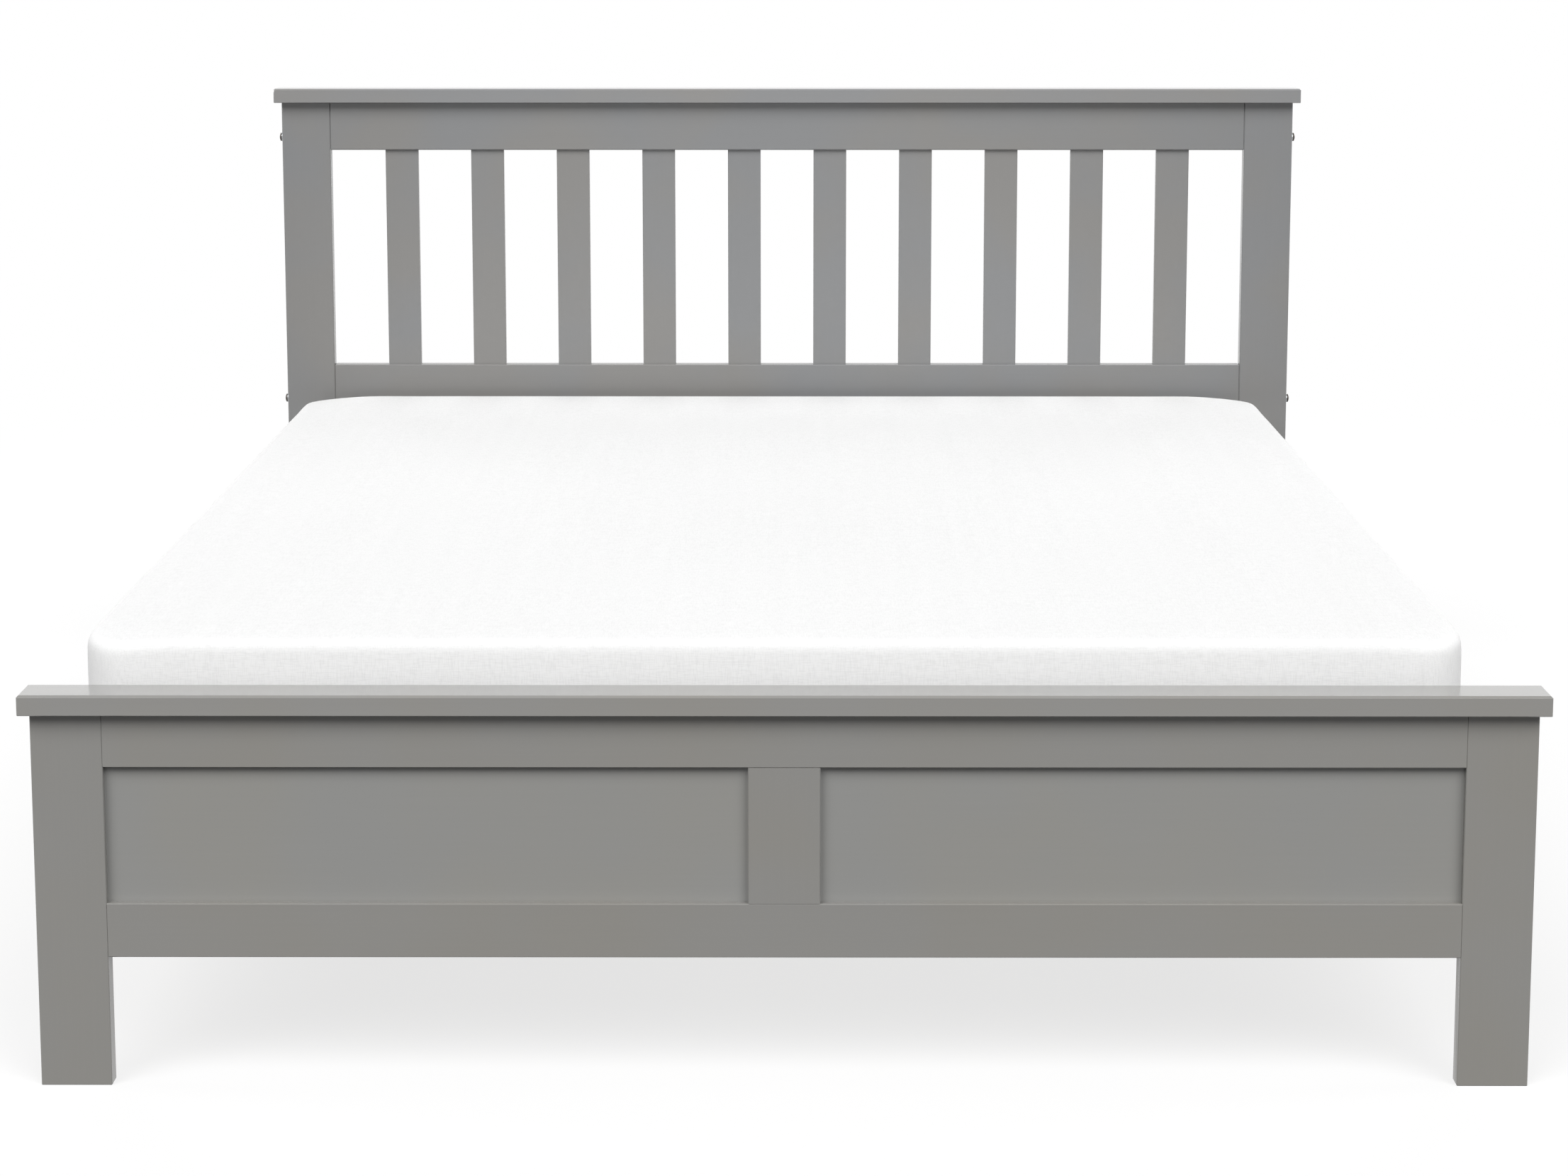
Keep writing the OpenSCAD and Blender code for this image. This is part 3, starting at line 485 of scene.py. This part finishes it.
def domed_bolt(head_r, head_h, crown_h, key, shank_r, pitch, length, threaded):
    """A bolt with a low domed head and a hexagon socket, its shank down from the origin."""
    dome_r = (head_r ** 2 + crown_h ** 2) / (2 * crown_h)
    radii = [head_r * k / DOME_STEPS for k in range(DOME_STEPS + 1)]
    dome = [(r, head_h - dome_r + math.sqrt(dome_r ** 2 - r ** 2)) for r in radii]
    core = shank_r - THREAD_DEPTH_SHARE * pitch
    below = [(head_r, HEAD_CHAMFER), (head_r - HEAD_CHAMFER, 0), (shank_r, 0),
             (shank_r, threaded - length), (core, threaded - length - 0.5 * MM),
             (core, END_CHAMFER - length), (core - END_CHAMFER, -length), (0, -length)]
    bolt = as_object("domed_bolt", lathe(dome + below, FINE_TURN_STEPS))
    cut_with(bolt, prism(key, head_h - SOCKET_DEPTH_SHARE * crown_h, head_h + crown_h))
    add_thread(bolt, core - THREAD_SINK, shank_r, pitch, pitch / 2 - length, threaded - length - pitch)
    return bolt


def hexagon(width, low, high, bore):
    """A bolt's hexagon head or a nut, with the corners turned off at thirty degrees."""
    corner = width / 2 / math.cos(math.pi / 6)
    face = TURNED_SHARE * width / 2
    drop = (corner - face) * math.tan(math.pi / 6)
    round_bar = lathe([(0, high), (face, high), (corner, high - drop), (corner, low + drop),
                       (face, low), (0, low)], HEXAGON_TURN_STEPS)
    head = prism(width, low, high)
    cut_with(head, as_object("turned", round_bar), "INTERSECT")
    if bore:
        cut_with(head, as_object("bore", lathe([(0, high + MM), (bore, high + MM), (bore, low - MM),
                                                (0, low - MM)])))
    return head


def join(first, second):
    """Adds the second object's mesh to the first's."""
    bm = bmesh.new()
    bm.from_mesh(first.data)
    bm.from_mesh(second.data)
    bm.to_mesh(first.data)
    bm.free()
    bpy.data.objects.remove(second)


blackened = plated("blackened_steel", BLACKENED, 0.36)
brass = plated("turned_brass", BRASS, 0.3)
long_bolt = domed_bolt(head_r=7 * MM, head_h=4.4 * MM, crown_h=2 * MM, key=5 * MM, shank_r=M8_R,
                       pitch=COARSE_M8, length=120 * MM, threaded=28 * MM)
long_places = [((side * WASHER_FACE_X, HEADBOARD_MID_Y, z), (side, 0, 0))
               for side in (-1, 1) for z in HEADBOARD_BOLT_ZS]
repeat("headboard_bolts_domed", long_bolt, long_places, "headboard_bolts", blackened)

short_bolt = domed_bolt(head_r=5.25 * MM, head_h=3.3 * MM, crown_h=1.6 * MM, key=4 * MM,
                        shank_r=3 * MM, pitch=COARSE_M6, length=15 * MM, threaded=13 * MM)
short_places = []
for side in (-1, 1):
    for end in (-1, 1):
        for z in BRACKET_HOLE_ZS:
            in_board = (side * (SIDE_RAIL_X - BRACKET_HOLE_OUT), end * (HALF_INNER_L - BRACKET_SHEET), z)
            in_rail = (side * (SIDE_RAIL_X - BRACKET_SHEET), end * (HALF_INNER_L - BRACKET_HOLE_OUT), z)
            short_places.append((in_board, (0, -end, 0)))
            short_places.append((in_rail, (-side, 0, 0)))
repeat("bracket_bolts_domed", short_bolt, short_places, "bracket_bolts", zinc)

leg_bolt = hexagon(M8_FLATS, low=0, high=5.3 * MM, bore=None)
leg_shank = as_object("shank", lathe([(0, 0.2 * MM), (M8_R, 0.2 * MM), (M8_R, -LEG_BOLT_PLAIN),
                                      (M8_CORE_R, -LEG_BOLT_PLAIN - END_CHAMFER),
                                      (M8_CORE_R, END_CHAMFER - LEG_BOLT_L),
                                      (M8_CORE_R - END_CHAMFER, -LEG_BOLT_L), (0, -LEG_BOLT_L)]))
add_thread(leg_shank, M8_CORE_R - THREAD_SINK, M8_R, COARSE_M8, low=END_CHAMFER - LEG_BOLT_L,
           high=-LEG_BOLT_PLAIN - MM)
join(leg_bolt, leg_shank)
leg_places = [((LEG_FACE_X, end * LEG_Y, LEG_BOLT_Z), (1, 0, 0)) for end in (-1, 1)]
repeat("leg_bolts_hexagon", leg_bolt, leg_places, "leg_bolts", zinc)
leg_nut = hexagon(M8_FLATS, low=0, high=6.5 * MM, bore=NUT_BORE_R)
nut_places = [((-LEG_FACE_X, end * LEG_Y, LEG_BOLT_Z), (-1, 0, 0)) for end in (-1, 1)]
repeat("leg_nuts_hexagon", leg_nut, nut_places, "leg_nuts", zinc)

barrel = as_object("barrel", lathe([(0, BARREL_HALF), (BARREL_R - BARREL_CHAMFER, BARREL_HALF),
                                    (BARREL_R, BARREL_HALF - BARREL_CHAMFER),
                                    (BARREL_R, BARREL_CHAMFER - BARREL_HALF),
                                    (BARREL_R - BARREL_CHAMFER, -BARREL_HALF),
                                    (0, -BARREL_HALF)], FINE_TURN_STEPS))
slot_bm = bmesh.new()
bmesh.ops.create_cube(slot_bm, size=1)
bmesh.ops.scale(slot_bm, vec=BARREL_SLOT, verts=slot_bm.verts)
bmesh.ops.translate(slot_bm, vec=(0, 0, BARREL_HALF), verts=slot_bm.verts)
cut_with(barrel, as_object("driver_slot", slot_bm))
bore = as_object("bore", lathe([(0, 8 * MM), (NUT_BORE_R, 8 * MM), (NUT_BORE_R, -8 * MM), (0, -8 * MM)]))
bore.data.transform(Matrix.Rotation(math.pi / 2, 4, "Y"))
cut_with(barrel, bore)
barrel_bm = bmesh.new()
for side in (-1, 1):
    for z in HEADBOARD_BOLT_ZS:
        copy = barrel.data.copy()
        copy.transform(Matrix.Translation((side * BARREL_X, HEADBOARD_MID_Y, z))
                       @ Matrix.Rotation(-math.pi / 2, 4, "X"))
        barrel_bm.from_mesh(copy)
        bpy.data.meshes.remove(copy)
bpy.data.objects.remove(barrel)
stand_for(as_object("barrel_nuts_slotted", barrel_bm), "barrel_nuts", zinc)


# Brackets, hangers and washers: pressed from zinc-plated steel sheet, with their edges deburred.
# The brackets' short bolts turn into brass inserts that are sunk in the boards.
STEEL_EDGE = 0.4 * MM
PRESSED = ["corner_brackets", "beam_hangers", "headboard_washers"]
finish(PRESSED, zinc)
soften(PRESSED, STEEL_EDGE)
finish(["threaded_inserts"], brass)


# Mattress: a foam core in a tight white cover, woven with uneven yarn as linen is. The foam presses
# the cover out a little between its edges, so that the sides bulge and the top is crowned. A seam
# near the bottom, out of sight in the frame, joins the cover to its base.
MATTRESS_CORNER = 70 * MM
MATTRESS_EDGE = 14 * MM
MATTRESS_CROWN = 3 * MM
MATTRESS_SWELL = 3 * MM
CORNER_SAG = 10 * MM
CORNER_REACH = 105 * MM
COVER_GRID = 25 * MM
SEAM_ABOVE_BASE = 32 * MM
SEAM_HALF_WIDTH = 2.5 * MM
SEAM_DEPTH = 1.6 * MM
CLOTH_STEPS = 20


def cover_shape(low, high):
    """The mattress before it swells: a box with round corners and edges, a little under size, and
    cut into even faces that cloth can stretch over."""
    base = high.z - low.z - MATTRESS_CROWN
    size = Vector((high.x - low.x - 2 * MATTRESS_SWELL, high.y - low.y - 2 * MATTRESS_SWELL, base))
    bm = bmesh.new()
    bmesh.ops.create_cube(bm, size=1)
    bmesh.ops.scale(bm, vec=size, verts=bm.verts)
    upright = [e for e in bm.edges if abs(e.verts[0].co.z - e.verts[1].co.z) > base / 2]
    bmesh.ops.bevel(bm, geom=upright, offset=MATTRESS_CORNER, segments=8, profile=0.5,
                    affect="EDGES", material=-1)
    rims = [e for e in bm.edges if abs(e.verts[0].co.z - e.verts[1].co.z) < MM]
    bmesh.ops.bevel(bm, geom=rims, offset=MATTRESS_EDGE, segments=3, profile=0.5,
                    affect="EDGES", material=-1)
    for axis in range(3):
        reach = size[axis] / 2 - (MATTRESS_EDGE if axis == 2 else MATTRESS_CORNER)
        count = round(2 * reach / COVER_GRID)
        across = Vector([1 if k == axis else 0 for k in range(3)])
        for k in range(1 if axis == 2 else 0, count if axis == 2 else count + 1):
            bmesh.ops.bisect_plane(bm, geom=bm.verts[:] + bm.edges[:] + bm.faces[:], dist=0.1 * MM,
                                   plane_co=across * (2 * reach * k / count - reach), plane_no=across)
    middle = (low + high) / 2
    middle.z = low.z + base / 2
    bmesh.ops.translate(bm, vec=middle, verts=bm.verts)
    return as_object("mattress_in_cover", bm)


def tighten(piece, low):
    """Lets the cloth give under the foam's pressure, and keeps the form of what it gives: the place
    that moves most moves by the swell."""
    rest = [v.co.copy() for v in piece.data.vertices]
    held = piece.vertex_groups.new(name="underside")
    held.add([i for i, p in enumerate(rest) if p.z < low.z + MATTRESS_EDGE / 2], 1, "REPLACE")
    cloth = piece.modifiers.new("tight_cover", "CLOTH")
    cloth.settings.quality = 6
    cloth.settings.mass = 0.3
    cloth.settings.tension_stiffness = 25
    cloth.settings.compression_stiffness = 25
    cloth.settings.bending_stiffness = 2
    cloth.settings.use_pressure = True
    cloth.settings.uniform_pressure_force = 4
    cloth.settings.vertex_group_mass = "underside"
    cloth.settings.effector_weights.gravity = 0
    for step in range(1, CLOTH_STEPS + 1):
        bpy.context.scene.frame_set(step)
    swollen = piece.evaluated_get(bpy.context.evaluated_depsgraph_get())
    moved = [v.co.copy() for v in swollen.data.vertices]
    piece.modifiers.remove(cloth)
    piece.vertex_groups.remove(held)
    bpy.context.scene.frame_set(1)
    share = MATTRESS_SWELL / max((b - a).length for a, b in zip(rest, moved))
    for vertex, start, end in zip(piece.data.vertices, rest, moved):
        vertex.co = start.lerp(end, share)


def sag_corners(piece, low, high):
    """Lowers the top towards its four corners, where the cover pulls the foam down from two sides."""
    middle = (low + high) / 2
    for vertex in piece.data.vertices:
        share = max(0, (vertex.co.z - low.z) / (high.z - low.z))
        for axis in range(2):
            inside = high[axis] - middle[axis] - abs(vertex.co[axis] - middle[axis])
            share *= max(0, 1 - inside / CORNER_REACH)
        vertex.co.z -= CORNER_SAG * share


def sew_seam(piece, height):
    """Draws the cover in along a seam, right round the sides."""
    bm = bmesh.new()
    bm.from_mesh(piece.data)
    for z in (height - SEAM_HALF_WIDTH, height, height + SEAM_HALF_WIDTH):
        bmesh.ops.bisect_plane(bm, geom=bm.verts[:] + bm.edges[:] + bm.faces[:], dist=0.01 * MM,
                               plane_co=(0, 0, z), plane_no=(0, 0, 1))
    bm.normal_update()
    for vertex in bm.verts:
        if abs(vertex.co.z - height) < 0.05 * MM:
            vertex.co -= vertex.normal * SEAM_DEPTH
    bm.to_mesh(piece.data)
    bm.free()


mattress_low, mattress_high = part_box("mattress")
cover = cover_shape(mattress_low, mattress_high)
tighten(cover, mattress_low)
sag_corners(cover, mattress_low, mattress_high)
sew_seam(cover, mattress_low.z + SEAM_ABOVE_BASE)
finer = cover.modifiers.new("smooth_cloth", "SUBSURF")
finer.levels = 1
finer.render_levels = 1
apply_all(cover)
cover.data.shade_smooth()

WOVEN_LIGHT = "E8E8E8"
# The darker tone is painted shade between the threads, not a second yarn colour.
WOVEN_SHADE_BETWEEN_THREADS = "DFDFDF"
YARN_WIDTH = 1.2 * MM
WEAVE_DEPTH = 0.15 * MM
SLUB_LENGTH = 12 * MM
STRIPE_WIDTH = 20 * MM
STRIPE_LENGTH = 700 * MM


def woven_cover(name):
    """White plain weave of slub yarn: matt, with short thin stretches along every thread, where the
    colour is drawn darker as painted shade between the threads, and slow stripes where the yarn came from
    another reel. The yarn is drawn about twice as thick as it is, because the real one is too fine to
    show."""
    material, tree = new_material(name)
    where = add(tree, "TexCoord", {})
    place = where.outputs["Object"]
    facing = add(tree, "VectorMath", {0: where.outputs["Normal"], 1: where.outputs["Normal"]},
                 operation="MULTIPLY")
    share = add(tree, "SeparateXYZ", {"Vector": facing.outputs[0]})
    total = None
    for axis in range(3):
        along = add(tree, "Mapping", {"Vector": place, "Scale": stretch(axis, SLUB_LENGTH, YARN_WIDTH)})
        yarn = add(tree, "TexNoise", {"Vector": along.outputs[0], "Scale": 1, "Detail": 1})
        thick = add(tree, "MapRange", {"Value": yarn.outputs["Fac"], "From Min": 0.3, "From Max": 0.56,
                                       "To Min": 0, "To Max": 1})
        seen = add(tree, "Math", {0: 1, 1: share.outputs[axis]}, operation="SUBTRACT")
        part = add(tree, "Math", {0: thick.outputs[0], 1: seen.outputs[0]}, operation="MULTIPLY")
        if total is None:
            total = part
        else:
            total = add(tree, "Math", {0: total.outputs[0], 1: part.outputs[0]}, operation="ADD")
    reel_at = add(tree, "Mapping", {"Vector": place, "Scale": stretch(1, STRIPE_LENGTH, STRIPE_WIDTH)})
    reel = add(tree, "TexNoise", {"Vector": reel_at.outputs[0], "Scale": 1, "Detail": 1})
    stripe = add(tree, "MapRange", {"Value": reel.outputs["Fac"], "From Min": NOISE_LOW,
                                    "From Max": NOISE_HIGH, "To Min": 0.994, "To Max": 1.006})
    # Where the yarn runs thin, the colour goes to the darker tone: painted shade between the threads.
    tone = add(tree, "MapRange", {"Value": total.outputs[0], "From Min": 0.4, "From Max": 2,
                                  "To Min": 0, "To Max": 1})
    cloth = add(tree, "Mix", {"Factor": tone.outputs[0], 6: linear(WOVEN_SHADE_BETWEEN_THREADS), 7: linear(WOVEN_LIGHT)},
                data_type="RGBA")
    colour = add(tree, "VectorMath", {0: cloth.outputs[2], "Scale": stripe.outputs[0]},
                 operation="SCALE")
    relief = add(tree, "Bump", {"Height": total.outputs[0], "Strength": 0.25, "Distance": WEAVE_DEPTH})
    surface = add(tree, "BsdfPrincipled", {"Base Color": colour.outputs[0], "Roughness": 0.9,
                                           "Sheen Weight": 0.05, "Sheen Roughness": 0.5,
                                           "Normal": relief.outputs[0]})
    add(tree, "OutputMaterial", {"Surface": surface.outputs[0]})
    return material


cover.data.materials.clear()
cover.data.materials.append(woven_cover("woven_cover"))
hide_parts("mattress")
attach(cover, "mattress")


# Studio: a pale floor that keeps the bed's shadow, a white surround, wide soft lamps at both sides
# of the front with weaker ones beside and behind the bed, and the camera at the photograph's angle.
FLOOR_RADIUS = 60
FLOOR_SEEN = "F8F8F8"
FLOOR_BOUNCE = "383838"
SHADOW_KEPT_TO = 2
ALL_WHITE_FROM = 4.5
GLOW_AT_BED = 0.75
SURROUND_FILL = 0.1


def seen_plainly(tree):
    """One where the camera sees a surface, straight or in a gloss or through glass, and else zero."""
    path = add(tree, "LightPath", {})
    seen = add(tree, "Math", {0: path.outputs["Is Camera Ray"], 1: path.outputs["Is Glossy Ray"]},
               operation="MAXIMUM")
    return add(tree, "Math", {0: seen.outputs[0], 1: path.outputs["Is Transmission Ray"]},
               operation="MAXIMUM").outputs[0]


def pale_floor(name):
    """Matt white floor, which turns into an even white glow away from the bed. It throws little of
    the lamps' light back up, so that the undersides stay shaded."""
    material, tree = new_material(name)
    seen = seen_plainly(tree)
    place = add(tree, "TexCoord", {}).outputs["Object"]
    reach = add(tree, "VectorMath", {0: place}, operation="LENGTH")
    far = add(tree, "MapRange", {"Value": reach.outputs["Value"], "From Min": SHADOW_KEPT_TO,
                                 "From Max": ALL_WHITE_FROM, "To Min": GLOW_AT_BED, "To Max": 1})
    glow = add(tree, "Math", {0: seen, 1: far.outputs[0]}, operation="MULTIPLY")
    tint = add(tree, "Mix", {"Factor": seen, 6: linear(FLOOR_BOUNCE), 7: linear(FLOOR_SEEN)},
               data_type="RGBA")
    matt = add(tree, "BsdfDiffuse", {"Color": tint.outputs[2]})
    white = add(tree, "Emission", {"Color": [1, 1, 1, 1], "Strength": 1})
    both = add(tree, "MixShader", {"Fac": glow.outputs[0], 1: matt.outputs[0], 2: white.outputs[0]})
    add(tree, "OutputMaterial", {"Surface": both.outputs[0]})
    return material


floor_bm = bmesh.new()
bmesh.ops.create_circle(floor_bm, cap_ends=True, segments=64, radius=FLOOR_RADIUS)
floor_mesh = bpy.data.meshes.new("studio_floor")
floor_bm.to_mesh(floor_mesh)
floor_bm.free()
floor_mesh.materials.append(pale_floor("white_floor"))
floor = bpy.data.objects.new("studio_floor", floor_mesh)
bpy.context.scene.collection.objects.link(floor)

surround = bpy.data.worlds.new("white_studio")
surround.use_nodes = True
surround.node_tree.nodes.clear()
level = add(surround.node_tree, "MapRange", {"Value": seen_plainly(surround.node_tree),
                                             "To Min": SURROUND_FILL, "To Max": 1})
glow = add(surround.node_tree, "Background", {"Color": [1, 1, 1, 1], "Strength": level.outputs[0]})
add(surround.node_tree, "OutputWorld", {"Surface": glow.outputs[0]})
bpy.context.scene.world = surround


def soft_light(name, azimuth, elevation, spread, strength):
    """Even soft light, as from a large diffuser far off. Azimuth 0 is from the foot of the bed, and
    the spread is how wide the diffuser looks from there, both in degrees."""
    light = bpy.data.lights.new(name, "SUN")
    light.angle = math.radians(spread)
    light.energy = strength
    lamp = bpy.data.objects.new(name, light)
    bpy.context.scene.collection.objects.link(lamp)
    lamp.rotation_euler = (math.radians(90 - elevation), 0, math.radians(azimuth))


soft_light("front_left_diffuser", azimuth=-38, elevation=40, spread=40, strength=2.2)
soft_light("front_right_diffuser", azimuth=38, elevation=40, spread=40, strength=2.15)
soft_light("left_diffuser", azimuth=-100, elevation=6, spread=12, strength=0.8)
soft_light("right_diffuser", azimuth=100, elevation=6, spread=12, strength=0.9)
soft_light("back_diffuser", azimuth=180, elevation=42, spread=30, strength=0.45)
soft_light("back_left_diffuser", azimuth=-150, elevation=10, spread=16, strength=0.35)
soft_light("back_right_diffuser", azimuth=150, elevation=10, spread=16, strength=0.35)

CAMERA_PLACE = (0.009, -4.960, 1.370)
CAMERA_LOOKS_DOWN = 9.014
CAMERA_LOOKS_LEFT = 0.136
camera_data = bpy.data.cameras.new("camera")
camera_data.lens = 80.44
camera_data.sensor_width = 36
camera_data.shift_y = -0.09
camera_data.clip_end = 200
camera = bpy.data.objects.new("camera", camera_data)
bpy.context.scene.collection.objects.link(camera)
camera.location = CAMERA_PLACE
camera.rotation_euler = (math.radians(90 - CAMERA_LOOKS_DOWN), 0, math.radians(CAMERA_LOOKS_LEFT))
bpy.context.scene.camera = camera
bpy.context.scene.view_settings.view_transform = "Standard"
